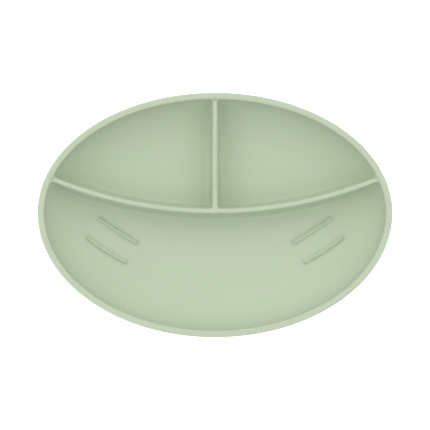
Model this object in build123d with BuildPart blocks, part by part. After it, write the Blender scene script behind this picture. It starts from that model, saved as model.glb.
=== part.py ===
from build123d import *
import math
import os

# Sizes in millimetres. +Z is up, +X runs along the long side, the origin is
# under the middle of the bowl on the surface that it stands on.

# Bowl outline: two half ovals that share their widest line
bowl_length = 245.0
bowl_width = 169.0
bowl_height = 40.0
widest_line = 1.7           # how far the widest line stands behind the middle

# Bowl section
rim_width = 4.8
rim_round = 1.2
wall_run = 30.0             # how far the inner wall curves in before the floor
floor_top = 16.5
floor_thickness = 3.3
section_angles = (0, 18, 36, 54, 70, 82, 90)
lip_angles = (0, 30, 60, 90)

# Dividers
divider_drop = 2.3          # from the rim down to the top of a divider
divider_draft = 9.0         # degrees
divider_round = 0.9
cross_crest = 3.2           # the curved divider across the bowl
cross_radius = 296.0
cross_front = 2.7           # Y of the point where the cross divider is furthest forward
middle_crest = 3.2          # the straight divider between the two back compartments

# Raised whiskers on the floor of the front compartment: outer end, inner end, sag
whisker_height = 2.0
whisker_foot = 4.0
whisker_crest = 1.0
whisker_root = 0.4          # how far a whisker is sunk in the floor
whisker_taper = 4.0         # how much shorter the crest is at each end
whiskers = {
    "upper": ((82.6, -2.4), (55.3, -19.9), 0.2),
    "lower": ((90.3, -15.8), (63.0, -33.4), 0.8),
}

# Foot ring and sockets under the floor
base_clearance = 7.2        # foot ring and bosses above the table
foot_inset = 1.2            # foot ring inside the edge of the flat underside
foot_thickness = 3.0
foot_root = 1.6             # how far the foot ring and the bosses run up into the floor
boss_radius = 9.0
collar_height = 2.4
head_room = 0.3             # between the plug head and its chamber, at each end
chamber_side = 0.35         # between the plug head and the chamber wall

# Suction cups
cup_x = 48.0
cup_radius = 22.0
cup_gap = 5.0               # between the front and the back cups
cup_lip = 1.2
cup_land = 2.5              # width of the flat sealing land
cup_shoulder_radius = 7.5
cup_dome = 3.2              # height of the hollow under the bell
bell_swell = 0.76           # where the bell turns up from its lip, as a share of its radius
bell_waist = 1.6            # where the bell flattens into its shoulder, in shoulder radii
dome_width = 0.5            # flat middle of the hollow, as a share of its radius
dome_turn = (0.75, 0.7)     # where the hollow turns down, as shares of its radius and height
neck_radius = 4.4
neck_clearance = 0.08
head_radius = 6.3
head_thickness = 2.6
head_dome = 1.4
head_flat = 0.5             # flat middle of the head, as a share of its radius
head_turn = 0.85            # where the head turns down to its edge, as a share of its radius
press_travel = 1.5          # how far a cup is pushed up when the bowl is pressed down
press_gap = 0.3             # left between the shoulder and the boss when it is pressed

# Release tabs, one on the outer side of each cup
tab_length = 13.0
tab_width = 11.0
tab_thickness = 1.5
tab_lift = 1.3              # how far the grip end stands above the root
tab_ramp = 5.0
tab_gap = 0.3               # split at the living hinge
tab_root = 1.5              # level stretch before the ramp
tab_clearance = 0.2         # under the root of a tab
tab_round = 5.0

# Sizes that follow from the ones above
wall_top = bowl_height - rim_round
front_semi = bowl_width / 2 + widest_line
back_semi = bowl_width / 2 - widest_line
divider_height = bowl_height - divider_drop - floor_top
flank_run = divider_height * math.tan(math.radians(divider_draft))
underside = floor_top - floor_thickness
flat_inset = rim_width + wall_run
head_base = base_clearance + collar_height + head_room
chamber_top = head_base + head_thickness + press_travel + head_room
cup_shoulder = base_clearance - press_travel - press_gap
cup_y = cup_radius + cup_gap / 2

cups = {
    "front_left": (-1, -1),
    "front_right": (1, -1),
    "back_left": (-1, 1),
    "back_right": (1, 1),
}


def oval(inset, height):
    """The bowl's outline, drawn in by inset, on the level at height."""
    with BuildSketch(Plane.XY.offset(height)) as outline:
        with BuildLine():
            EllipticalCenterArc(
                (0, widest_line), bowl_length / 2 - inset, back_semi - inset, 0, arc_size=180
            )
            EllipticalCenterArc(
                (0, widest_line), bowl_length / 2 - inset, front_semi - inset, 180, arc_size=180
            )
        make_face()
    return outline.sketch


def wall_point(angle, outside):
    """Inset and height of the wall at an angle, 0 at the rim and 90 at the floor."""
    turn = math.radians(angle)
    depth = wall_top - floor_top
    inset = rim_width + wall_run * (1 - math.cos(turn))
    height = wall_top - depth * math.sin(turn)
    if outside:
        out, down = depth * math.cos(turn), wall_run * math.sin(turn)
        reach = math.hypot(out, down)
        thickness = rim_width + (floor_thickness - rim_width) * angle / 90
        inset -= thickness * out / reach
        height -= thickness * down / reach
    return inset, height


def wall_sections(outside):
    """Ovals from the floor up to the rim, inside or outside the wall."""
    points = [wall_point(angle, outside) for angle in reversed(section_angles)]
    return [oval(inset, height) for inset, height in points]


def lip_sections(outside):
    """Ovals up the rounded edge of the rim, on its outer or its inner side."""
    ovals = []
    for angle in lip_angles:
        turn = math.radians(angle)
        back = rim_round * (1 - math.cos(turn))
        inset = back if outside else rim_width - back
        ovals.append(oval(inset, wall_top + rim_round * math.sin(turn)))
    return ovals


def make_lip():
    """The rounded top edge of the rim, a ring that stands on the wall."""
    with BuildPart() as lip:
        loft(lip_sections(outside=True))
        loft(lip_sections(outside=False), mode=Mode.SUBTRACT)
    return lip.part


def cross_divider():
    """The curved divider across the bowl, longer than the bowl is wide inside."""
    half_foot = cross_crest / 2 + flank_run
    centre_y = cross_front + cross_radius
    half_angle = math.degrees(math.asin(bowl_length / 2 / cross_radius))
    with BuildPart() as divider:
        with BuildSketch(Plane.XY.offset(floor_top)):
            with BuildLine():
                near = CenterArc(
                    (0, centre_y), cross_radius + half_foot, 270 - half_angle, 2 * half_angle
                )
                far = CenterArc(
                    (0, centre_y), cross_radius - half_foot, 270 - half_angle, 2 * half_angle
                )
                Line(near @ 0, far @ 0)
                Line(near @ 1, far @ 1)
            make_face()
        extrude(amount=divider_height, taper=divider_draft)
        crest = divider.faces().sort_by(Axis.Z)[-1]
        fillet(crest.edges().filter_by(GeomType.CIRCLE), radius=divider_round)
    return divider.part


def middle_divider():
    """The straight divider from the cross divider to the back wall."""
    with BuildPart() as divider:
        with BuildSketch(Plane.XY.offset(floor_top)):
            with Locations((0, cross_front)):
                Rectangle(
                    middle_crest + 2 * flank_run, bowl_width / 2 + rim_width,
                    align=(Align.CENTER, Align.MIN),
                )
        extrude(amount=divider_height, taper=divider_draft)
        crest = divider.faces().sort_by(Axis.Z)[-1]
        fillet(crest.edges().filter_by(Axis.Y), radius=divider_round)
    return divider.part


def hollow():
    """The space inside the wall, with both dividers left standing."""
    with BuildPart() as space:
        loft(wall_sections(outside=False))
        add(cross_divider(), mode=Mode.SUBTRACT)
        add(middle_divider(), mode=Mode.SUBTRACT)
    return space.part


def whisker(outer_end, inner_end, sag):
    """A low fin with pointed ends; its crest is narrower and shorter than its foot."""
    start, end = Vector(*outer_end), Vector(*inner_end)
    along = (end - start).normalized()
    across = Vector(-along.Y, along.X)
    if across.Y > 0:
        across = -across
    middle = (start + end) * 0.5 + across * sag

    def outline(width, shorten, height):
        tips = start + along * shorten, end - along * shorten
        with BuildSketch(Plane.XY.offset(height)) as lens:
            with BuildLine():
                Spline(tips[0], middle + across * (width / 2), tips[1])
                Spline(tips[0], middle - across * (width / 2), tips[1])
            make_face()
        return lens.sketch

    foot = outline(whisker_foot, 0, floor_top - whisker_root)
    crest = outline(whisker_crest, whisker_taper, floor_top + whisker_height)
    with BuildPart() as fin:
        loft([foot, crest])
    return fin.part


def make_bowl():
    """Rim, wall, floor, dividers, whiskers, foot ring and plug sockets in one moulding."""
    places = [(cup_x * side, cup_y * way) for side, way in cups.values()]
    with BuildPart() as bowl:
        loft(wall_sections(outside=True))
        add(hollow(), mode=Mode.SUBTRACT)
        add(make_lip())
        for ends in whiskers.values():
            fin = whisker(*ends)
            add(fin)
            add(mirror(fin, about=Plane.YZ, mode=Mode.PRIVATE))
        with BuildSketch(Plane.XY.offset(base_clearance)):
            add(oval(flat_inset + foot_inset, 0))
            add(oval(flat_inset + foot_inset + foot_thickness, 0), mode=Mode.SUBTRACT)
            with Locations(*places):
                Circle(boss_radius)
        extrude(amount=underside - base_clearance + foot_root)
        with BuildSketch(Plane.XY.offset(base_clearance + collar_height)):
            with Locations(*places):
                Circle(head_radius + chamber_side)
        extrude(amount=chamber_top - base_clearance - collar_height, mode=Mode.SUBTRACT)
        with BuildSketch(Plane.XY.offset(base_clearance)):
            with Locations(*places):
                Circle(neck_radius + neck_clearance)
        extrude(amount=collar_height, mode=Mode.SUBTRACT)
    bowl.part.label = "bowl"
    return bowl


def make_cup(name, x, y):
    """Bell, sealing land, neck and mushroom head of one suction cup."""
    shoulder = (cup_shoulder_radius, cup_shoulder)
    head_top = head_base + head_thickness
    land = cup_radius - cup_land
    with BuildPart() as cup:
        with BuildSketch(Plane(origin=(x, y, 0), x_dir=(1, 0, 0), z_dir=(0, -1, 0))):
            with BuildLine():
                Line((land, 0), (cup_radius, 0))
                Line((cup_radius, 0), (cup_radius, cup_lip))
                Bezier(
                    (cup_radius, cup_lip), (bell_swell * cup_radius, 2 * cup_lip),
                    (bell_waist * cup_shoulder_radius, cup_shoulder), shoulder,
                )
                Polyline(
                    shoulder, (neck_radius, cup_shoulder), (neck_radius, head_base),
                    (head_radius, head_base), (head_radius, head_top - head_dome),
                )
                Bezier(
                    (head_radius, head_top - head_dome), (head_turn * head_radius, head_top),
                    (head_flat * head_radius, head_top), (0, head_top),
                )
                Line((0, head_top), (0, cup_dome))
                Bezier(
                    (0, cup_dome), (dome_width * land, cup_dome),
                    (dome_turn[0] * land, dome_turn[1] * cup_dome), (land, 0),
                )
            make_face()
        revolve(axis=Axis((x, y, 0), (0, 0, 1)))
    cup.part.label = name
    return cup


def make_tab(name, x, y, way):
    """A thumb tab that points outwards from its cup and bends up at its root."""
    side_plane = Plane(origin=(x, y, 0), x_dir=(0, way, 0), z_dir=(way, 0, 0))
    root, ramp_start = cup_radius - tab_gap, cup_radius + tab_root
    ramp_end = cup_radius + tab_gap + tab_ramp
    tip = cup_radius + tab_gap + tab_length
    raised = cup_lip - tab_thickness + tab_lift
    with BuildPart() as tab:
        with BuildSketch(side_plane):
            with BuildLine():
                Polyline(
                    (root, tab_clearance), (ramp_start, tab_clearance), (ramp_end, raised),
                    (tip, raised), (tip, raised + tab_thickness),
                    (ramp_end, raised + tab_thickness), (ramp_start, cup_lip),
                    (root, cup_lip), close=True,
                )
            make_face()
        extrude(amount=tab_width / 2, both=True)
        outer = tab.edges().filter_by(Axis.Z).group_by(Axis.Y)[-1 if way > 0 else 0]
        fillet(outer, radius=tab_round)
        with BuildSketch(Plane.XY):
            with Locations((x, y)):
                Circle(cup_radius + tab_gap)
        extrude(amount=bowl_height, mode=Mode.SUBTRACT)
    tab.part.label = name
    return tab


pieces = [make_bowl()]
for place, (side, way) in cups.items():
    pieces.append(make_cup("suction_cup_" + place, side * cup_x, way * cup_y))
    pieces.append(make_tab("release_tab_" + place, side * cup_x, way * cup_y, way))

os.makedirs("parts", exist_ok=True)
for piece in pieces:
    export_step(piece.part, "parts/" + piece.part.label + ".step")
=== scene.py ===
import math

import bmesh
import bpy
import numpy as np
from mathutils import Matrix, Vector
from mathutils.geometry import delaunay_2d_cdt


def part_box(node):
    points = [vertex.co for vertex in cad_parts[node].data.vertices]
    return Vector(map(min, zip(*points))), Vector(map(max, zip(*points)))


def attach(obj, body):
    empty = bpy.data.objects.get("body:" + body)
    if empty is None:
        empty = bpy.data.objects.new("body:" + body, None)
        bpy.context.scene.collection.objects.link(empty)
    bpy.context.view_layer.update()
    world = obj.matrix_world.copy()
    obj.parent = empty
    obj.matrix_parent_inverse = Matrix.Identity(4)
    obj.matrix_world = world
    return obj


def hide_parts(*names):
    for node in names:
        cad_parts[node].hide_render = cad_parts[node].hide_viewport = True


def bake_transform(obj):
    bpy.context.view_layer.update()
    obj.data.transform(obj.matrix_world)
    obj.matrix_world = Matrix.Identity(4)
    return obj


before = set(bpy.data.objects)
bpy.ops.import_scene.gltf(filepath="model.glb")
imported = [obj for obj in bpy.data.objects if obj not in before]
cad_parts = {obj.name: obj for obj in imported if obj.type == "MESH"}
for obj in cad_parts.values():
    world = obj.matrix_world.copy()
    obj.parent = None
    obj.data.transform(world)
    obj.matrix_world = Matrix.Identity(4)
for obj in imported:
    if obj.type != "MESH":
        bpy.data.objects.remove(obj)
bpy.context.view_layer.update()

bowlLow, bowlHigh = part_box("bowl")
toMetres = 0.001
cupNames = ("front_left", "front_right", "back_left", "back_right")

# Lengths in the shape dictionaries are millimetres, and angles are degrees.


def meshObject(name, points, faces):
    # a smooth-shaded mesh whose points are given in millimetres
    mesh = bpy.data.meshes.new(name)
    mesh.from_pydata([tuple(float(v) * toMetres for v in p) for p in points], [], faces)
    mesh.update()
    tidy = bmesh.new()
    tidy.from_mesh(mesh)
    bmesh.ops.remove_doubles(tidy, verts=tidy.verts, dist=0.000004)
    bmesh.ops.recalc_face_normals(tidy, faces=tidy.faces)
    openEdges = sum(1 for e in tidy.edges if len(e.link_faces) != 2)
    for face in tidy.faces:
        face.smooth = True
    tidy.to_mesh(mesh)
    tidy.free()
    made = bpy.data.objects.new(name, mesh)
    bpy.context.scene.collection.objects.link(made)
    print(name, len(mesh.vertices), "points,", openEdges, "open edges")
    return made


# The bowl: outline, wall, dividers, and the foot ring and sockets under its floor

bowlShape = {
    "widestLine": 1.7,        # how far the widest line stands behind the middle
    "rimWidth": 4.8,
    "rimRound": 1.2,
    "wallRun": 30.0,          # plan width of the curved inner wall
    "floorTop": 16.5,
    "floorThickness": 3.3,
    "dividerDrop": 2.3,       # from the rim down to the crests
    "dividerDraft": {"front": 9.0, "backLeft": 7.0},
    "crestRound": 0.9,
    "crossCrest": 3.2,
    "crossRadius": 296.0,
    "crossFront": 2.7,
    "middleCrest": 3.2,
    "footFillet": 3.0,        # between a divider and the floor
    "cornerTop": 1.2,         # corner tightness at the crest and at the floor, per mm
    "cornerFloor": 0.4,
    "stepRun": 2.0,           # plan width of the step from the rim down to a crest
    "stepFade": 9.0,          # how far down the pocket's corners the step is still felt
    "ringSpacing": 0.8,       # between the points of a ring, on average
    "cornerCrowd": 1.6,       # how much closer they are in the corners
    "ovalPoints": 420,
    "wallRings": 26,
    "roundRings": 4,
    "outsideRings": 20,
    "floorSpacing": 5.0,
    "crestSpacing": 0.42,
    "crestClear": 0.25,       # between the points of the crests and a pocket's edge
    "rimPoints": 1500,        # along the line where the step down from the rim starts
    "rimClear": 0.3,
    "pocketMiddle": {"front": (0.0, -36.0), "backLeft": (-42.0, 34.0)},
    "furthest": 160.0,        # no pocket reaches further than this from its middle
    "directions": 3600,       # in which the first outline of a pocket is looked for
    "halvings": 40,           # of the distance to that outline
    "settleTurns": 12,
    "stepShares": (0.25, 0.5, 0.75, 1, 1),   # sub-steps from one ring down to the next
}
footShape = {
    "clearance": 7.2,
    "footInset": 1.2,
    "footThickness": 3.0,
    "edgeRound": 0.7,
    "bevel": 0.3,             # middle point of a rounded edge, as a share of its radius
    "bossRadius": 9.0,
    "bossPoints": 64,
    "boreRadius": 4.48,
    "boreHeight": 2.4,
    "chamberRadius": 6.65,
    "chamberTop": 14.3,
}

halfLength = (bowlHigh.x - bowlLow.x) / 2 / toMetres
halfWidth = (bowlHigh.y - bowlLow.y) / 2 / toMetres
rimTop = bowlHigh.z / toMetres
wallTop = rimTop - bowlShape["rimRound"]
crestTop = rimTop - bowlShape["dividerDrop"]
flankTop = crestTop - bowlShape["crestRound"]
underside = bowlShape["floorTop"] - bowlShape["floorThickness"]


def ovalInset(points):
    # how deep a point lies in the family of ovals that shrink from the rim's outer edge
    x = np.abs(points[:, 0])
    y = points[:, 1] - bowlShape["widestLine"]
    semi = np.where(y > 0, halfWidth - bowlShape["widestLine"], halfWidth + bowlShape["widestLine"])
    outmost, inmost = -12.0, semi - 0.5
    coarseTurns, fineTurns = 9, 4
    low, high = np.full(len(points), outmost), inmost
    for step in range(coarseTurns):
        middle = (low + high) / 2
        outside = (x / (halfLength - middle)) ** 2 + (y / (semi - middle)) ** 2 > 1
        high = np.where(outside, middle, high)
        low = np.where(outside, low, middle)
    for step in range(fineTurns):
        a, b = halfLength - high, semi - high
        excess = (x / a) ** 2 + (y / b) ** 2 - 1
        growth = np.maximum(2 * x * x / a ** 3 + 2 * y * y / b ** 3, 1e-6)
        high = np.minimum(high - excess / growth, inmost)
    return high


def ovalRing(inset, count):
    turn = np.linspace(0, 2 * math.pi, count, endpoint=False)
    widest = bowlShape["widestLine"]
    semi = np.where(np.sin(turn) > 0, halfWidth - widest, halfWidth + widest) - inset
    return np.stack([(halfLength - inset) * np.cos(turn), widest + semi * np.sin(turn)], 1)


def pocketSides(pocket, points, wallInset, dividerInset):
    # distance of each point inside each side of a pocket, the wall first
    centreY = bowlShape["crossFront"] + bowlShape["crossRadius"]
    reach = np.hypot(points[:, 0], points[:, 1] - centreY) - bowlShape["crossRadius"]
    sides = [ovalInset(points) - wallInset]
    if pocket == "front":
        sides.append(reach - bowlShape["crossCrest"] / 2 - dividerInset)
    else:
        sides.append(-reach - bowlShape["crossCrest"] / 2 - dividerInset)
        sides.append(-points[:, 0] - bowlShape["middleCrest"] / 2 - dividerInset)
    return np.stack(sides, 1)


def softLeast(sides, k):
    # smooth minimum, which rounds the corners between the sides, and each side's share in it
    least = sides.min(1, keepdims=True)
    weight = np.exp(-k * (sides - least))
    total = weight.sum(1, keepdims=True)
    return (least - np.log(total) / k)[:, 0], weight / total


def pocketField(pocket, points, level):
    return softLeast(pocketSides(pocket, points, level[0], level[1]), level[2])[0]


def ontoRing(pocket, points, level):
    # moves points square to the ring until they lie on it
    step = 0.01
    for turn in range(3):
        value = pocketField(pocket, points, level)
        slope = np.stack([
            pocketField(pocket, points + move, level) - pocketField(pocket, points - move, level)
            for move in ((step, 0), (0, step))
        ], 1) / (2 * step)
        size = np.maximum((slope ** 2).sum(1), 0.04)
        points = points - slope * (value / size)[:, None]
    return points


def spreadRing(pocket, points, level):
    # slides points along the ring until they are evenly spread, closer together in the corners
    shares = softLeast(pocketSides(pocket, points, level[0], level[1]), level[2])[1]
    corner = np.sort(shares, 1)[:, -2]
    steps = np.hypot(*(np.roll(points, -1, 0) - points).T)
    steps *= 1 + bowlShape["cornerCrowd"] * (corner + np.roll(corner, -1))
    run = np.concatenate([[0], np.cumsum(steps)])
    even = np.linspace(0, run[-1], len(points), endpoint=False)
    at = (run[:-1] + even + (run[:-1] - even).mean()) / 2
    return np.stack([np.interp(at, run[:-1], points[:, axis], period=run[-1]) for axis in (0, 1)], 1)


def pocketLevels(pocket):
    # from the top down: insets beside the wall and a divider, corner tightness, both heights
    levels = []
    rimRound, crestRound = bowlShape["rimRound"], bowlShape["crestRound"]
    for ring in range(bowlShape["roundRings"]):
        turn = math.pi / 2 * ring / bowlShape["roundRings"]
        levels.append((
            bowlShape["rimWidth"] - rimRound * (1 - math.sin(turn)),
            crestRound * (math.sin(turn) - 1),
            bowlShape["cornerTop"],
            rimTop - rimRound * (1 - math.cos(turn)),
            crestTop - crestRound * (1 - math.cos(turn)),
        ))
    draft = math.radians(bowlShape["dividerDraft"][pocket])
    fillet, floorTop = bowlShape["footFillet"], bowlShape["floorTop"]
    centre = (fillet + (flankTop - floorTop - fillet) * math.sin(draft)) / math.cos(draft)
    for ring in range(bowlShape["wallRings"] + 1):
        turn = math.pi / 2 * ring / bowlShape["wallRings"]
        deep = 1 - math.cos(turn)
        height = flankTop - (flankTop - floorTop) * math.sin(turn)
        if height > floorTop + fillet * (1 - math.sin(draft)):
            inset = (flankTop - height) * math.tan(draft)
        else:
            inset = centre - math.sqrt(max(fillet ** 2 - (height - floorTop - fillet) ** 2, 0))
        levels.append((
            bowlShape["rimWidth"] + bowlShape["wallRun"] * deep,
            inset,
            bowlShape["cornerTop"] + (bowlShape["cornerFloor"] - bowlShape["cornerTop"]) * deep,
            wallTop - (wallTop - floorTop) * math.sin(turn),
            height,
        ))
    return levels


def stepHeight(inset):
    # the top surface: the rim's level at its inner edge, then the step down to the crests
    share = np.clip((inset - bowlShape["rimWidth"] + bowlShape["rimRound"]) / bowlShape["stepRun"], 0, 1)
    return rimTop - bowlShape["dividerDrop"] * share * share * (3 - 2 * share)


def firstRing(pocket, level):
    # finds the outline of a pocket by looking outwards from a point inside it
    start = np.array(bowlShape["pocketMiddle"][pocket])
    turn = np.linspace(0, 2 * math.pi, bowlShape["directions"], endpoint=False) - math.pi / 2
    look = np.stack([np.cos(turn), np.sin(turn)], 1)
    low, high = np.zeros(len(turn)), np.full(len(turn), bowlShape["furthest"])
    for step in range(bowlShape["halvings"]):
        middle = (low + high) / 2
        inside = pocketField(pocket, start + look * middle[:, None], level) > 0
        low, high = np.where(inside, middle, low), np.where(inside, high, middle)
    outline = start + look * low[:, None]
    around = np.hypot(*(outline - np.roll(outline, 1, 0)).T).sum()
    count = 2 * int(around / bowlShape["ringSpacing"] / 2)
    run = np.concatenate([[0], np.cumsum(np.hypot(*(np.roll(outline, -1, 0) - outline).T))])
    at = np.linspace(0, around, count, endpoint=False)
    flat = np.stack([np.interp(at, run[:-1], outline[:, axis], period=around) for axis in (0, 1)], 1)
    for turn in range(bowlShape["settleTurns"]):
        flat = ontoRing(pocket, spreadRing(pocket, flat, level), level)
    return flat


def pocketRings(pocket):
    # rings of points down a pocket's sides, each with its height
    rings, levels = [], pocketLevels(pocket)
    flat, last = firstRing(pocket, levels[0]), levels[0]
    for level in levels:
        for share in bowlShape["stepShares"]:
            between = [a + (b - a) * share for a, b in zip(last, level)]
            flat = ontoRing(pocket, spreadRing(pocket, flat, between), between)
        last = level
        share = softLeast(pocketSides(pocket, flat, level[0], level[1]), level[2])[1][:, 0]
        height = share * level[3] + (1 - share) * level[4]
        if not rings:
            lift = stepHeight(ovalInset(flat)) - height
        fade = max(0.0, 1 - (rimTop - level[3]) / bowlShape["stepFade"])
        rings.append(np.column_stack([flat, height + lift * fade * fade]))
    return rings


def insideRing(points, ring):
    # even-odd test of points against a closed line
    inside = np.zeros(len(points), bool)
    x, y = points[:, 0], points[:, 1]
    for (ax, ay), (bx, by) in zip(ring, np.roll(ring, -1, 0)):
        if ay == by:
            continue
        crosses = (ay > y) != (by > y)
        inside ^= crosses & (x < (bx - ax) * (y - ay) / (by - ay) + ax)
    return inside


def fillBetween(outline, holes, extra):
    # triangles between an outline and its holes, on exactly the given points
    loops = [outline] + holes
    points, edges = [], []
    for loop in loops:
        first = len(points)
        points += [Vector(p) for p in loop]
        edges += [(first + i, first + (i + 1) % len(loop)) for i in range(len(loop))]
    points += [Vector(p) for p in extra]
    made = delaunay_2d_cdt(points, edges, [], 0, 1e-7)
    where, faces, source = np.array([tuple(v) for v in made[0]]), made[2], made[3]
    middle = np.array([where[list(f)].mean(0) for f in faces])
    keep = insideRing(middle, outline)
    for hole in holes:
        keep &= ~insideRing(middle, hole)
    index = [min(s) if s else None for s in source]
    return [[index[v] for v in f] for f, k in zip(faces, keep) if k]


def gridInside(spacing, test):
    # rows of points, every second row set over by half a space, where test allows
    across = np.arange(-halfLength, halfLength, spacing)
    rows = []
    for row, y in enumerate(np.arange(-halfWidth, halfWidth, spacing * math.sqrt(3) / 2)):
        rows.append(np.column_stack([across + spacing / 2 * (row % 2), np.full(len(across), y)]))
    grid = np.vstack(rows)
    return grid[test(grid)]


class Surface:
    # collects points and faces, and hands back the numbers of the points
    def __init__(self):
        self.points, self.faces = [], []

    def ring(self, points):
        first = len(self.points)
        self.points += [tuple(p) for p in points]
        return list(range(first, len(self.points)))

    def strip(self, a, b):
        for i in range(len(a)):
            j = (i + 1) % len(a)
            self.faces.append((a[i], a[j], b[j], b[i]))

    def fill(self, outline, holes, extra):
        # extra points carry their own height
        numbers = list(outline)
        for hole in holes:
            numbers += hole
        flat = [np.array([self.points[n][:2] for n in loop]) for loop in [outline] + holes]
        numbers += self.ring(extra)
        made = fillBetween(flat[0], flat[1:], [p[:2] for p in extra])
        self.faces += [tuple(numbers[v] for v in face) for face in made]


def roundedRows(rows, points):
    # ovals at each inset and height
    return [np.column_stack([ovalRing(inset, points), np.full(points, height)]) for inset, height in rows]


def outsideRows():
    # inset and height down the outside, from the rim's top edge to inside the foot ring
    rimRound, rows = bowlShape["rimRound"], []
    for ring in range(bowlShape["roundRings"] + 1):
        turn = math.pi / 2 * ring / bowlShape["roundRings"]
        rows.append((rimRound * (1 - math.sin(turn)), rimTop - rimRound * (1 - math.cos(turn))))
    depth = wallTop - bowlShape["floorTop"]
    thinning = bowlShape["floorThickness"] - bowlShape["rimWidth"]
    rings = bowlShape["outsideRings"]
    for ring in range(1, rings + 1):
        turn = math.pi / 2 * ring / rings
        thickness = bowlShape["rimWidth"] + thinning * ring / rings
        out, down = depth * math.cos(turn), bowlShape["wallRun"] * math.sin(turn)
        reach = math.hypot(out, down)
        rows.append((
            bowlShape["rimWidth"] + bowlShape["wallRun"] * (1 - math.cos(turn)) - thickness * out / reach,
            wallTop - depth * math.sin(turn) - thickness * down / reach,
        ))
    outer = bowlShape["rimWidth"] + bowlShape["wallRun"] + footShape["footInset"]
    inner = outer + footShape["footThickness"]
    r, bevel, base = footShape["edgeRound"], footShape["bevel"], footShape["clearance"]
    rows += [(outer - 2 * r, underside), (outer - r * bevel, underside - r * bevel), (outer, underside - r)]
    rows += [(outer, base + r), (outer + r * bevel, base + r * bevel), (outer + r, base)]
    rows += [(inner - r, base), (inner - r * bevel, base + r * bevel), (inner, base + r)]
    rows += [(inner, underside - r), (inner + r * bevel, underside - r * bevel), (inner + r, underside)]
    return rows


def socketRows():
    # radius and height down a boss, up its bore and around its chamber
    r, bevel = footShape["edgeRound"], footShape["bevel"]
    base, boss = footShape["clearance"], footShape["bossRadius"]
    bore, chamber = footShape["boreRadius"], footShape["chamberRadius"]
    ledge, top = base + footShape["boreHeight"], footShape["chamberTop"]
    return [
        (boss + r, underside), (boss + r * bevel, underside - r * bevel), (boss, underside - r),
        (boss, base + r), (boss - r * bevel, base + r * bevel), (boss - r, base),
        (bore + r, base), (bore + r * bevel, base + r * bevel), (bore, base + r),
        (bore, ledge - 0.1), (bore + 0.1, ledge), (chamber - 0.1, ledge), (chamber, ledge + 0.1),
        (chamber, top - r), (chamber - r, top), (chamber / 2, top),
    ]


def circleRing(centre, radius, height, turn):
    return [(centre.x + radius * math.cos(t), centre.y + radius * math.sin(t), height) for t in turn]


def cupCentre(name):
    low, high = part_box("suction_cup_" + name)
    return Vector(((low.x + high.x) / 2, (low.y + high.y) / 2, 0)) / toMetres


def makeBowl():
    shell = Surface()
    # pockets: the left back one is mirrored for the right
    front, left = pocketRings("front"), pocketRings("backLeft")
    right = [ring * (-1, 1, 1) for ring in left]
    tops = []
    for rings in (front, left, right):
        numbers = [shell.ring(ring) for ring in rings]
        for upper, lower in zip(numbers, numbers[1:]):
            shell.strip(upper, lower)
        tops.append(numbers[0])
        edge = rings[-1][:, :2]
        spacing = bowlShape["floorSpacing"]
        inner = gridInside(spacing, lambda grid: clearInside(grid, edge, spacing * 0.6))
        shell.fill(numbers[-1], [], [(x, y, bowlShape["floorTop"]) for x, y in inner])
    # the rim's top and the crests, between the outside and the pockets
    outside = [shell.ring(row) for row in roundedRows(outsideRows(), bowlShape["ovalPoints"])]
    for upper, lower in zip(outside, outside[1:]):
        shell.strip(upper, lower)
    loops = [np.array([shell.points[n][:2] for n in top]) for top in tops]
    guard = bowlShape["rimWidth"] - bowlShape["rimRound"]

    def onCrest(grid):
        depth = ovalInset(grid)
        keep = (depth > guard + bowlShape["rimClear"]) & (depth < guard + bowlShape["stepRun"] + 1.0)
        for loop in loops:
            keep[keep] = ~insideRing(grid[keep], loop)
            keep[keep] = nearest(grid[keep], loop) > bowlShape["crestClear"]
        return keep

    rimLine = ovalRing(guard, bowlShape["rimPoints"])
    rimLine = rimLine[np.min([nearest(rimLine, loop) for loop in loops], 0) > bowlShape["rimClear"]]
    crest = np.vstack([rimLine, gridInside(bowlShape["crestSpacing"], onCrest)])
    shell.fill(outside[0], tops, np.column_stack([crest, stepHeight(ovalInset(crest))]))
    # the flat underside, with a socket for each cup
    sockets = []
    turn = np.linspace(0, 2 * math.pi, footShape["bossPoints"], endpoint=False)
    for name in cupNames:
        centre = cupCentre(name)
        rings = []
        for radius, height in socketRows():
            rings.append(shell.ring(circleRing(centre, radius, height, turn)))
        for upper, lower in zip(rings, rings[1:]):
            shell.strip(upper, lower)
        shell.faces.append(tuple(rings[-1]))
        sockets.append(rings[0])
    shell.fill(outside[-1], sockets, [])
    return meshObject("bowl_shell", shell.points, shell.faces)


def nearest(points, line):
    # least distance from each point to the points of a line
    best = np.full(len(points), 1e9)
    for start in range(0, len(line), 200):
        part = line[start:start + 200]
        gap = np.hypot(points[:, None, 0] - part[None, :, 0], points[:, None, 1] - part[None, :, 1])
        best = np.minimum(best, gap.min(1))
    return best


def clearInside(grid, loop, margin):
    keep = insideRing(grid, loop)
    keep[keep] = nearest(grid[keep], loop) > margin
    return keep


print("making the bowl")
bowl = makeBowl()
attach(bowl, "bowl")
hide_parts("bowl")


# The silicone of the bowl, and the darker one of the cups

siliconeLook = {
    "bowlColour": (0.50, 0.58, 0.435, 1),
    "cupColour": (0.46, 0.54, 0.39, 1),
    "bowlGrain": 1400.0,      # specks per metre
    "cupGrain": 1800.0,
    "mottleSize": 22.0,
    "mottle": 0.05,           # how far the mottling lightens and darkens the colour
    "dustSize": 260.0,
    "dustRange": (0.60, 0.74),
    "bloom": 0.06,            # how much of the dust shows
    "bloomColour": (0.86, 0.88, 0.82, 1),
    "roughness": 0.55,
    "grainRoughness": 0.10,
    "mottleRoughness": 0.12,
    "bump": 0.12,
    "bumpDepth": 0.0002,
    "ior": 1.41,
    "specular": 0.35,
    "glowThrough": 0.12,      # share of the light that scatters under the surface
    "scatter": (0.9, 1.0, 0.7),
    "scatterDepth": 0.002,
}


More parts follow.
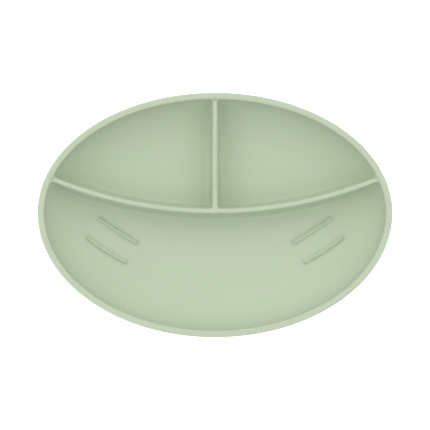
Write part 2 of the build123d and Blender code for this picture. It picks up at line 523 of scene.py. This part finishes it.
def mathNode(tree, kind, a, b=None):
    node = tree.nodes.new("ShaderNodeMath")
    node.operation = kind
    for socket, value in zip(node.inputs, (a, b)):
        if value is None:
            continue
        if isinstance(value, (int, float)):
            socket.default_value = value
        else:
            tree.links.new(value, socket)
    return node.outputs[0]


def siliconeGrain():
    # fine moulded grain, slow mottling and a faint bloom of dust
    group = bpy.data.node_groups.new("siliconeGrain", "ShaderNodeTree")
    face = group.interface
    face.new_socket("Colour", in_out="INPUT", socket_type="NodeSocketColor")
    look = siliconeLook
    for label, value in (
        ("Grain size", look["bowlGrain"]), ("Mottle size", look["mottleSize"]),
        ("Mottle", look["mottle"]), ("Bloom", look["bloom"]),
    ):
        face.new_socket(label, in_out="INPUT", socket_type="NodeSocketFloat").default_value = value
    face.new_socket("Colour", in_out="OUTPUT", socket_type="NodeSocketColor")
    face.new_socket("Roughness", in_out="OUTPUT", socket_type="NodeSocketFloat")
    face.new_socket("Height", in_out="OUTPUT", socket_type="NodeSocketFloat")
    add, join = group.nodes.new, group.links.new
    entry, leave = add("NodeGroupInput"), add("NodeGroupOutput")
    place = add("ShaderNodeTexCoord")

    def noise(scale, detail, roughness):
        node = add("ShaderNodeTexNoise")
        node.inputs["Detail"].default_value = detail
        node.inputs["Roughness"].default_value = roughness
        join(place.outputs["Object"], node.inputs["Vector"])
        if isinstance(scale, str):
            join(entry.outputs[scale], node.inputs["Scale"])
        else:
            node.inputs["Scale"].default_value = scale
        return node

    grain = noise("Grain size", 3.0, 0.6)
    mottle = noise("Mottle size", 4.0, 0.55)
    dust = noise(look["dustSize"], 5.0, 0.7)
    swing = mathNode(group, "SUBTRACT", mottle.outputs["Fac"], 0.5)
    light = mathNode(group, "ADD", mathNode(group, "MULTIPLY", swing, entry.outputs["Mottle"]), 1.0)
    specks = add("ShaderNodeMapRange")
    specks.inputs["From Min"].default_value = look["dustRange"][0]
    specks.inputs["From Max"].default_value = look["dustRange"][1]
    join(dust.outputs["Fac"], specks.inputs["Value"])
    bloom = mathNode(group, "MULTIPLY", specks.outputs["Result"], entry.outputs["Bloom"])
    shade = add("ShaderNodeVectorMath")
    shade.operation = "SCALE"
    join(entry.outputs["Colour"], shade.inputs[0])
    join(light, shade.inputs["Scale"])
    mix = add("ShaderNodeMix")
    mix.data_type = "RGBA"
    join(bloom, mix.inputs["Factor"])
    join(shade.outputs[0], mix.inputs[6])
    mix.inputs[7].default_value = look["bloomColour"]
    join(mix.outputs[2], leave.inputs["Colour"])
    grainRough = mathNode(group, "MULTIPLY", grain.outputs["Fac"], look["grainRoughness"])
    rough = mathNode(group, "ADD", grainRough, look["roughness"])
    mottleRough = mathNode(group, "MULTIPLY", swing, look["mottleRoughness"])
    join(mathNode(group, "ADD", rough, mottleRough), leave.inputs["Roughness"])
    join(grain.outputs["Fac"], leave.inputs["Height"])
    return group


def siliconeFinish(name, colour, grain, group):
    made = bpy.data.materials.new(name)
    made.use_nodes = True
    look, nodes, join = siliconeLook, made.node_tree.nodes, made.node_tree.links.new
    shader = nodes["Principled BSDF"]
    shader.inputs["IOR"].default_value = look["ior"]
    shader.inputs["Subsurface Weight"].default_value = look["glowThrough"]
    shader.inputs["Subsurface Radius"].default_value = look["scatter"]
    shader.inputs["Subsurface Scale"].default_value = look["scatterDepth"]
    shader.inputs["Specular IOR Level"].default_value = look["specular"]
    effect = nodes.new("ShaderNodeGroup")
    effect.node_tree = group
    effect.inputs["Colour"].default_value = colour
    effect.inputs["Grain size"].default_value = grain
    effect.inputs["Mottle size"].default_value = look["mottleSize"]
    bump = nodes.new("ShaderNodeBump")
    bump.inputs["Strength"].default_value = look["bump"]
    bump.inputs["Distance"].default_value = look["bumpDepth"]
    join(effect.outputs["Height"], bump.inputs["Height"])
    join(effect.outputs["Colour"], shader.inputs["Base Color"])
    join(effect.outputs["Roughness"], shader.inputs["Roughness"])
    join(bump.outputs["Normal"], shader.inputs["Normal"])
    return made


siliconeGroup = siliconeGrain()
bowlSilicone = siliconeFinish(
    "bowlSilicone", siliconeLook["bowlColour"], siliconeLook["bowlGrain"], siliconeGroup)
cupSilicone = siliconeFinish(
    "cupSilicone", siliconeLook["cupColour"], siliconeLook["cupGrain"], siliconeGroup)
bowl.data.materials.append(bowlSilicone)


# Whisker ribs, on the floor of the front pocket

whiskerShape = {
    "width": 5.6,
    "height": 2.6,
    "sink": 0.9,              # the closed underside lies this deep in the floor
    "steps": 90,
    "section": 56,
    "steepness": 8.0,         # how quickly the section falls away from its crest
    "fadeStart": 4.0,         # higher keeps the fin wide for longer before it fades
    "fadeEnd": 0.6,           # lower makes its ends blunter
    "upper": {"outer": (82.6, -2.4), "inner": (55.3, -19.9), "sag": 0.2},
    "lower": {"outer": (90.3, -15.8), "inner": (63.0, -33.4), "sag": 0.8},
}


def newTree(name, inputs):
    # an empty geometry tree with named inputs and one geometry output
    tree = bpy.data.node_groups.new(name, "GeometryNodeTree")
    tree.interface.new_socket("Geometry", in_out="INPUT", socket_type="NodeSocketGeometry")
    for label, kind in inputs:
        tree.interface.new_socket(label, in_out="INPUT", socket_type="NodeSocket" + kind)
    tree.interface.new_socket("Geometry", in_out="OUTPUT", socket_type="NodeSocketGeometry")
    return tree, tree.nodes.new("NodeGroupInput"), tree.nodes.new("NodeGroupOutput")


def grow(name, tree, values):
    # runs a tree on an empty mesh and keeps the result as a plain mesh
    seed = bpy.data.objects.new(name, bpy.data.meshes.new(name))
    bpy.context.scene.collection.objects.link(seed)
    modifier = seed.modifiers.new(name, "NODES")
    modifier.node_group = tree
    for item in tree.interface.items_tree:
        if item.in_out == "INPUT" and item.name in values:
            modifier[item.identifier] = values[item.name]
    view = bpy.context.evaluated_depsgraph_get()
    mesh = bpy.data.meshes.new_from_object(seed.evaluated_get(view))
    seed.modifiers.clear()
    seed.data = mesh
    mesh.name = name
    mesh.shade_smooth()
    return seed


def whiskerTree():
    # a fin with a bell-shaped section that swells and fades along a gentle curve
    tree, entry, leave = newTree("whiskerFin", [
        ("Outer end", "Vector"), ("Middle", "Vector"), ("Inner end", "Vector"), ("Width", "Float"),
        ("Height", "Float"), ("Sink", "Float"), ("Steps", "Int"), ("Material", "Material"),
    ])
    add, join = tree.nodes.new, tree.links.new
    line = add("GeometryNodeCurveQuadraticBezier")
    line.inputs["Resolution"].default_value = 32
    join(entry.outputs["Outer end"], line.inputs["Start"])
    join(entry.outputs["Middle"], line.inputs["Middle"])
    join(entry.outputs["Inner end"], line.inputs["End"])
    evenly = add("GeometryNodeResampleCurve")
    join(line.outputs["Curve"], evenly.inputs["Curve"])
    join(entry.outputs["Steps"], evenly.inputs["Count"])
    along = add("GeometryNodeSplineParameter")
    fromMiddle = mathNode(tree, "MULTIPLY", mathNode(tree, "SUBTRACT", along.outputs["Factor"], 0.5), 2.0)
    drop = mathNode(tree, "POWER", mathNode(tree, "ABSOLUTE", fromMiddle), whiskerShape["fadeStart"])
    swell = mathNode(tree, "POWER", mathNode(tree, "SUBTRACT", 1.0, drop), whiskerShape["fadeEnd"])
    taper = add("GeometryNodeSetCurveRadius")
    join(evenly.outputs["Curve"], taper.inputs["Curve"])
    join(mathNode(tree, "MAXIMUM", swell, 0.02), taper.inputs["Radius"])
    circle = add("GeometryNodeCurvePrimitiveCircle")
    circle.inputs["Resolution"].default_value = whiskerShape["section"]
    circle.inputs["Radius"].default_value = 1.0
    spot = add("GeometryNodeInputPosition")
    parts = add("ShaderNodeSeparateXYZ")
    join(spot.outputs[0], parts.inputs[0])
    halfWide = mathNode(tree, "MULTIPLY", entry.outputs["Width"], -0.5)
    side = mathNode(tree, "MULTIPLY", parts.outputs["X"], halfWide)
    above = mathNode(tree, "MAXIMUM", parts.outputs["Y"], 0.0)
    below = mathNode(tree, "MINIMUM", parts.outputs["Y"], 0.0)
    steep = mathNode(tree, "POWER", above, whiskerShape["steepness"])
    bell = mathNode(tree, "MULTIPLY", steep, entry.outputs["Height"])
    tall = mathNode(tree, "ADD", bell, mathNode(tree, "MULTIPLY", below, entry.outputs["Sink"]))
    tall = mathNode(tree, "MULTIPLY", tall, -1.0)
    section = add("ShaderNodeCombineXYZ")
    join(side, section.inputs["X"])
    join(tall, section.inputs["Y"])
    shape = add("GeometryNodeSetPosition")
    join(circle.outputs["Curve"], shape.inputs["Geometry"])
    join(section.outputs[0], shape.inputs["Position"])
    fin = add("GeometryNodeCurveToMesh")
    fin.inputs["Fill Caps"].default_value = True
    join(taper.outputs["Curve"], fin.inputs["Curve"])
    join(shape.outputs["Geometry"], fin.inputs["Profile Curve"])
    real = add("GeometryNodeRealizeInstances")
    coat = add("GeometryNodeSetMaterial")
    join(fin.outputs["Mesh"], real.inputs[0])
    join(real.outputs[0], coat.inputs["Geometry"])
    join(entry.outputs["Material"], coat.inputs["Material"])
    join(coat.outputs["Geometry"], leave.inputs[0])
    return tree


def floorHeight(x, y):
    # height of the pocket's surface beside the wall, away from the dividers
    deep = (ovalInset(np.array([[x, y]]))[0] - bowlShape["rimWidth"]) / bowlShape["wallRun"]
    rise = math.sqrt(1 - (1 - min(max(deep, 0.0), 1.0)) ** 2)
    return wallTop - (wallTop - bowlShape["floorTop"]) * rise


def makeWhiskers():
    tree = whiskerTree()
    for level in ("upper", "lower"):
        ends = whiskerShape[level]
        for label, side in (("left", -1), ("right", 1)):
            outer, inner = Vector(ends["outer"]), Vector(ends["inner"])
            square = Vector((inner.y - outer.y, outer.x - inner.x)).normalized()
            if square.y > 0:
                square = -square
            # the curve passes half as far out as its middle point
            middle = (outer + inner) / 2 + square * ends["sag"] * 2
            spots = [
                Vector((side * p.x, p.y, floorHeight(p.x, p.y))) * toMetres
                for p in (outer, middle, inner)
            ]
            fin = grow("whisker_" + level + "_" + label, tree, {
                "Outer end": spots[0], "Middle": spots[1], "Inner end": spots[2],
                "Width": whiskerShape["width"] * toMetres, "Height": whiskerShape["height"] * toMetres,
                "Sink": whiskerShape["sink"] * toMetres, "Steps": whiskerShape["steps"],
                "Material": bowlSilicone,
            })
            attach(fin, "bowl")
            low = min(v.co.z for v in fin.data.vertices) / toMetres
            high = max(v.co.z for v in fin.data.vertices) / toMetres
            print(fin.name, len(fin.data.vertices), "points, from", round(low, 2), "to", round(high, 2))


print("growing the whisker ribs")
makeWhiskers()


# Suction cups and release tabs, under the bowl

cupShape = {
    "landWidth": 2.5,
    "lip": 1.2,
    "dome": 3.2,
    "shoulder": 5.4,
    "shoulderRadius": 7.5,
    "neckRadius": 4.4,
    "headBase": 9.9,
    "headTop": 12.5,
    "headRadius": 6.3,
    "edge": 0.25,
    "bellSwell": 0.76,        # where the bell turns up from its lip, as a share of its radius
    "bellWaist": 1.6,         # where it flattens into its shoulder, in shoulder radii
    "domeTurn": (0.75, 0.7),  # where the hollow turns down, as shares of its radius and height
    "neckFillet": (5.4, 1.2),  # where the shoulder starts to turn up the neck, and how high it runs
    "headDome": 1.4,
    "headTurn": 0.85,         # where the head turns down to its edge, as a share of its radius
    "pip": 0.7,
    "pipRadius": 1.3,
    "rings": (0.42, 0.72),    # as shares of the hollow's radius
    "ringHeight": 0.35,
    "ringWidth": 0.45,
    "points": 96,
}
tabShape = {
    "length": 13.0,
    "gap": 0.3,
    "width": 11.0,
    "rootWidth": 15.0,
    "thickness": 1.5,
    "webThickness": 0.8,
    "lift": 1.3,
    "ramp": 5.0,
    "rootDepth": 1.6,         # how far the root runs into the lip of its cup
    "rootFlare": (-1.0, 4.0),  # where the wide root starts to narrow, and over what length
    "webAt": 0.9,             # middle of the thin web, out from the lip
    "webSpread": 0.7,
    "webRise": 0.12,
    "rootOver": 0.1,          # how much thicker than the web the root is
    "noseCrowd": 0.85,
    "noseGap": 0.004,         # keeps the last station from closing to a point
    "crown": 0.8,             # below 1 makes the faces of the tab flatter
    "section": 28,
    "steps": 44,
}
gripShape = {
    "count": 4,
    "spacing": 1.7,
    "first": 5.6,             # from the lip to the first grip bar
    "length": 6.4,
    "radius": 0.45,
    "points": 15,
    "section": 14,
    "fadeStart": 6.0,         # higher keeps a bar full for longer before it fades
}


def bezier(a, b, c, d, steps):
    # points on a cubic curve, without its first end
    spots = []
    for i in range(1, steps + 1):
        t = i / steps
        u = 1 - t
        spots.append(tuple(
            u ** 3 * p + 3 * u * u * t * q + 3 * u * t * t * r + t ** 3 * s for p, q, r, s in zip(a, b, c, d)
        ))
    return spots


def cupOutline(radius):
    # radius and height from under the bell, round the lip, up the neck and over the head
    c, e, bevel = cupShape, cupShape["edge"], footShape["bevel"]
    land, dome, lip, high = radius - c["landWidth"], c["dome"], c["lip"], c["shoulder"]
    turnRadius, turnHeight = c["domeTurn"][0] * land, c["domeTurn"][1] * dome
    rows = [(0, dome - c["pip"])]
    for r, z in bezier((0, dome), (land / 2, dome), (turnRadius, turnHeight), (land, 0.02), 60):
        # a small pip in the middle and two low rings that help the bell to spring back
        drop = c["pip"] * math.exp(-((r / c["pipRadius"]) ** 4))
        for ring in c["rings"]:
            drop += c["ringHeight"] * math.exp(-((r - ring * land) / c["ringWidth"]) ** 2)
        rows.append((r, max(z - drop, 0.02)))
    rows += [(land + 0.15, 0), (radius - e, 0), (radius - e * bevel, e * bevel), (radius, e)]
    rows += [(radius, lip - e), (radius - e * bevel, lip - e * bevel), (radius - e, lip)]
    shoulder, waist = (c["shoulderRadius"], high), (c["bellWaist"] * c["shoulderRadius"], high)
    rows += bezier(rows[-1], (c["bellSwell"] * radius, 2 * lip), waist, shoulder, 18)
    neck, (filletStart, filletHeight) = c["neckRadius"], c["neckFillet"]
    rows += bezier(shoulder, (filletStart, high), (neck, high), (neck, high + filletHeight), 6)
    rows += [(neck, c["headBase"] - e), (neck + e * 0.4, c["headBase"])]
    head, top = c["headRadius"], c["headTop"]
    rows += [(head - e, c["headBase"]), (head, c["headBase"] + e)]
    brim = (head, top - c["headDome"])
    return rows + [brim] + bezier(brim, (c["headTurn"] * head, top), (head / 2, top), (0, top), 10)


def makeCup(name):
    low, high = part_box("suction_cup_" + name)
    centre = cupCentre(name)
    turn = np.linspace(0, 2 * math.pi, cupShape["points"], endpoint=False)
    body = Surface()
    outline = cupOutline((high.x - low.x) / 2 / toMetres)
    rings = [body.ring(circleRing(centre, r, z, turn)) for r, z in outline]
    for a, b in zip(rings, rings[1:]):
        body.strip(a, b)
    cup = meshObject("cup_" + name, body.points, body.faces)
    cup.data.materials.append(cupSilicone)
    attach(cup, "suction_cup_" + name)
    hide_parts("suction_cup_" + name)


def tabStation(along):
    # half width, middle height and thickness of a tab, by distance out from the lip
    t = tabShape
    end, nose = t["gap"] + t["length"], t["width"] / 2
    ease = min(max(along / t["ramp"], 0.0), 1.0)
    ease = ease * ease * (3 - 2 * ease)
    flareStart, flareRun = t["rootFlare"]
    narrowed = min(max((along - flareStart) / flareRun, 0.0), 1.0)
    half = t["width"] / 2 + (t["rootWidth"] - t["width"]) / 2 * (1 - narrowed) ** 2
    if along > end - nose:
        half = math.sqrt(max(nose ** 2 - (along - end + nose) ** 2, 0.0))
    pinch = math.exp(-((along - t["webAt"]) / t["webSpread"]) ** 2)
    thick = t["thickness"] - (t["thickness"] - t["webThickness"]) * pinch
    if along < t["webAt"]:
        thick = min(thick, t["webThickness"] + t["rootOver"])
    middle = cupShape["lip"] - t["thickness"] / 2 + t["lift"] * ease + t["webRise"] * pinch
    return half, middle, thick


def tabSection(half, middle, thick):
    # a flat oval across the tab: how far to the side, and how high
    spots = []
    for k in range(tabShape["section"]):
        turn = 2 * math.pi * k / tabShape["section"]
        c, s = math.cos(turn), math.sin(turn)
        flat = max(half - thick / 2, 0) * (1 if c > 0 else -1) * min(1.0, abs(c) * 3)
        reach = flat + min(half, thick / 2) * c
        # thinner at the tip of the nose, where the tab is narrow
        thinned = min(1.0, 0.25 + half / 1.2)
        height = middle + thick / 2 * math.copysign(abs(s) ** tabShape["crown"], s) * thinned
        spots.append((reach, height))
    return spots


def makeTab(name, way):
    low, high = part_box("suction_cup_" + name)
    centre, lip = cupCentre(name), (high.x - low.x) / 2 / toMetres
    t = tabShape
    start, end = -t["rootDepth"], t["gap"] + t["length"]
    tab, rings = Surface(), []
    for i in range(t["steps"] + 1):
        # stations crowd towards the rounded nose
        share = math.sin(i / t["steps"] * math.pi / 2) ** t["noseCrowd"]
        along = start + (end - start) * share
        ring = []
        for reach, height in tabSection(*tabStation(min(along, end - t["noseGap"]))):
            # inside the lip the tab follows the round edge of its cup
            curve = lip - math.sqrt(max(lip ** 2 - reach ** 2, 0)) if along < 0 else 0
            ring.append((centre.x + reach, centre.y + way * (lip + along - curve), height))
        rings.append(tab.ring(ring))
    for a, b in zip(rings, rings[1:]):
        tab.strip(a, b)
    tab.faces.append(tuple(rings[0]))
    tab.faces.append(tuple(rings[-1]))
    piece = meshObject("tab_" + name, tab.points, tab.faces)
    piece.data.materials.append(cupSilicone)
    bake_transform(piece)
    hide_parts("release_tab_" + name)


def gripTree():
    # a row of short rounded bars
    tree, entry, leave = newTree("gripBars", [
        ("Count", "Int"), ("Step", "Vector"), ("First", "Vector"), ("Half length", "Vector"),
        ("Radius", "Float"), ("Material", "Material"),
    ])
    add, join = tree.nodes.new, tree.links.new
    row = add("GeometryNodeMeshLine")
    join(entry.outputs["Count"], row.inputs["Count"])
    join(entry.outputs["First"], row.inputs["Start Location"])
    join(entry.outputs["Step"], row.inputs["Offset"])
    flip = add("ShaderNodeVectorMath")
    flip.operation = "SCALE"
    flip.inputs["Scale"].default_value = -1.0
    join(entry.outputs["Half length"], flip.inputs[0])
    line = add("GeometryNodeCurvePrimitiveLine")
    join(flip.outputs[0], line.inputs["Start"])
    join(entry.outputs["Half length"], line.inputs["End"])
    evenly = add("GeometryNodeResampleCurve")
    evenly.inputs["Count"].default_value = gripShape["points"]
    join(line.outputs["Curve"], evenly.inputs["Curve"])
    along = add("GeometryNodeSplineParameter")
    middle = mathNode(tree, "MULTIPLY", mathNode(tree, "SUBTRACT", along.outputs["Factor"], 0.5), 2.0)
    drop = mathNode(tree, "POWER", mathNode(tree, "ABSOLUTE", middle), gripShape["fadeStart"])
    fade = mathNode(tree, "SUBTRACT", 1.0, drop)
    taper = add("GeometryNodeSetCurveRadius")
    join(evenly.outputs["Curve"], taper.inputs["Curve"])
    join(mathNode(tree, "MAXIMUM", mathNode(tree, "SQRT", fade), 0.05), taper.inputs["Radius"])
    circle = add("GeometryNodeCurvePrimitiveCircle")
    circle.inputs["Resolution"].default_value = gripShape["section"]
    join(entry.outputs["Radius"], circle.inputs["Radius"])
    bar = add("GeometryNodeCurveToMesh")
    bar.inputs["Fill Caps"].default_value = True
    join(taper.outputs["Curve"], bar.inputs["Curve"])
    join(circle.outputs["Curve"], bar.inputs["Profile Curve"])
    place = add("GeometryNodeInstanceOnPoints")
    join(row.outputs["Mesh"], place.inputs["Points"])
    join(bar.outputs["Mesh"], place.inputs["Instance"])
    real = add("GeometryNodeRealizeInstances")
    coat = add("GeometryNodeSetMaterial")
    join(place.outputs["Instances"], real.inputs[0])
    join(real.outputs[0], coat.inputs["Geometry"])
    join(entry.outputs["Material"], coat.inputs["Material"])
    join(coat.outputs["Geometry"], leave.inputs[0])
    return tree


def makeGrip(name, way, tree):
    low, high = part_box("suction_cup_" + name)
    centre, lip = cupCentre(name), (high.x - low.x) / 2 / toMetres
    g = gripShape
    top = tabStation(g["first"])[1] + tabShape["thickness"] / 2
    grip = grow("tab_grip_" + name, tree, {
        "Count": g["count"],
        "Step": Vector((0, way * g["spacing"], 0)) * toMetres,
        "First": Vector((centre.x, centre.y + way * (lip + g["first"]), top)) * toMetres,
        "Half length": Vector((g["length"] / 2, 0, 0)) * toMetres,
        "Radius": g["radius"] * toMetres,
        "Material": cupSilicone,
    })
    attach(grip, "release_tab_" + name)


print("turning the cups and their tabs")
gripBars = gripTree()
for cupName in cupNames:
    outward = -1 if cupName.startswith("front") else 1
    makeCup(cupName)
    makeTab(cupName, outward)
    makeGrip(cupName, outward, gripBars)


# Table, light and camera

studio = {
    "tableSize": 6.0,         # metres
    "tableColour": (0.93, 0.93, 0.93, 1),
    "tableGlow": 0.85,
    "around": 0.44,           # light from every side
    "above": 0.25,            # extra light from straight above
    "back": 1.6,              # extra light from high on each side
    "front": 0.45,
    "right": 1.15,
    "left": 1.45,
    "overheadPower": 4.0,     # higher draws the light from above closer to the zenith
    "lens": 100.0,
    "sensor": 36.0,
    "framing": 1.209,         # width of the view at the rim, in bowl lengths
}


def softSky():
    # an even sky with broad soft lights overhead, at the back and at both sides
    sky = bpy.data.worlds.new("softSky")
    sky.use_nodes = True
    tree = sky.node_tree
    where = tree.nodes.new("ShaderNodeTexCoord")
    parts = tree.nodes.new("ShaderNodeSeparateXYZ")
    tree.links.new(where.outputs["Generated"], parts.inputs[0])
    x, y, z = parts.outputs
    high = mathNode(tree, "MAXIMUM", z, 0.0)
    overhead = mathNode(tree, "POWER", high, studio["overheadPower"])
    strength = mathNode(tree, "MULTIPLY", overhead, studio["above"])
    sides = (("back", y, 1.0), ("front", y, -1.0), ("right", x, 1.0), ("left", x, -1.0))
    for way, axis, sign in sides:
        lobe = mathNode(tree, "MAXIMUM", mathNode(tree, "MULTIPLY", axis, sign * studio[way]), 0.0)
        strength = mathNode(tree, "ADD", strength, mathNode(tree, "MULTIPLY", lobe, high))
    strength = mathNode(tree, "ADD", strength, studio["around"])
    tree.links.new(strength, tree.nodes["Background"].inputs["Strength"])
    tree.nodes["Background"].inputs["Color"].default_value = (1, 1, 1, 1)
    return sky


def makeStudio():
    bpy.ops.mesh.primitive_plane_add(size=studio["tableSize"])
    table = bpy.context.object
    table.name = "table"
    paint = bpy.data.materials.new("paleTable")
    paint.use_nodes = True
    shader = paint.node_tree.nodes["Principled BSDF"]
    shader.inputs["Base Color"].default_value = studio["tableColour"]
    shader.inputs["Roughness"].default_value = 0.9
    shader.inputs["Specular IOR Level"].default_value = 0.1
    shader.inputs["Emission Color"].default_value = (1, 1, 1, 1)
    shader.inputs["Emission Strength"].default_value = studio["tableGlow"]
    table.data.materials.append(paint)
    scene = bpy.context.scene
    scene.view_settings.view_transform = "Standard"
    scene.world = softSky()
    camera = bpy.data.cameras.new("camera")
    camera.lens = studio["lens"]
    camera.sensor_width = studio["sensor"]
    cameraObject = bpy.data.objects.new("camera", camera)
    scene.collection.objects.link(cameraObject)
    spread = 2 * halfLength * toMetres * studio["framing"]
    distance = spread * camera.lens / camera.sensor_width
    cameraObject.location = (0, 0, distance + bowlHigh.z)
    scene.camera = cameraObject


print("setting up the studio")
makeStudio()
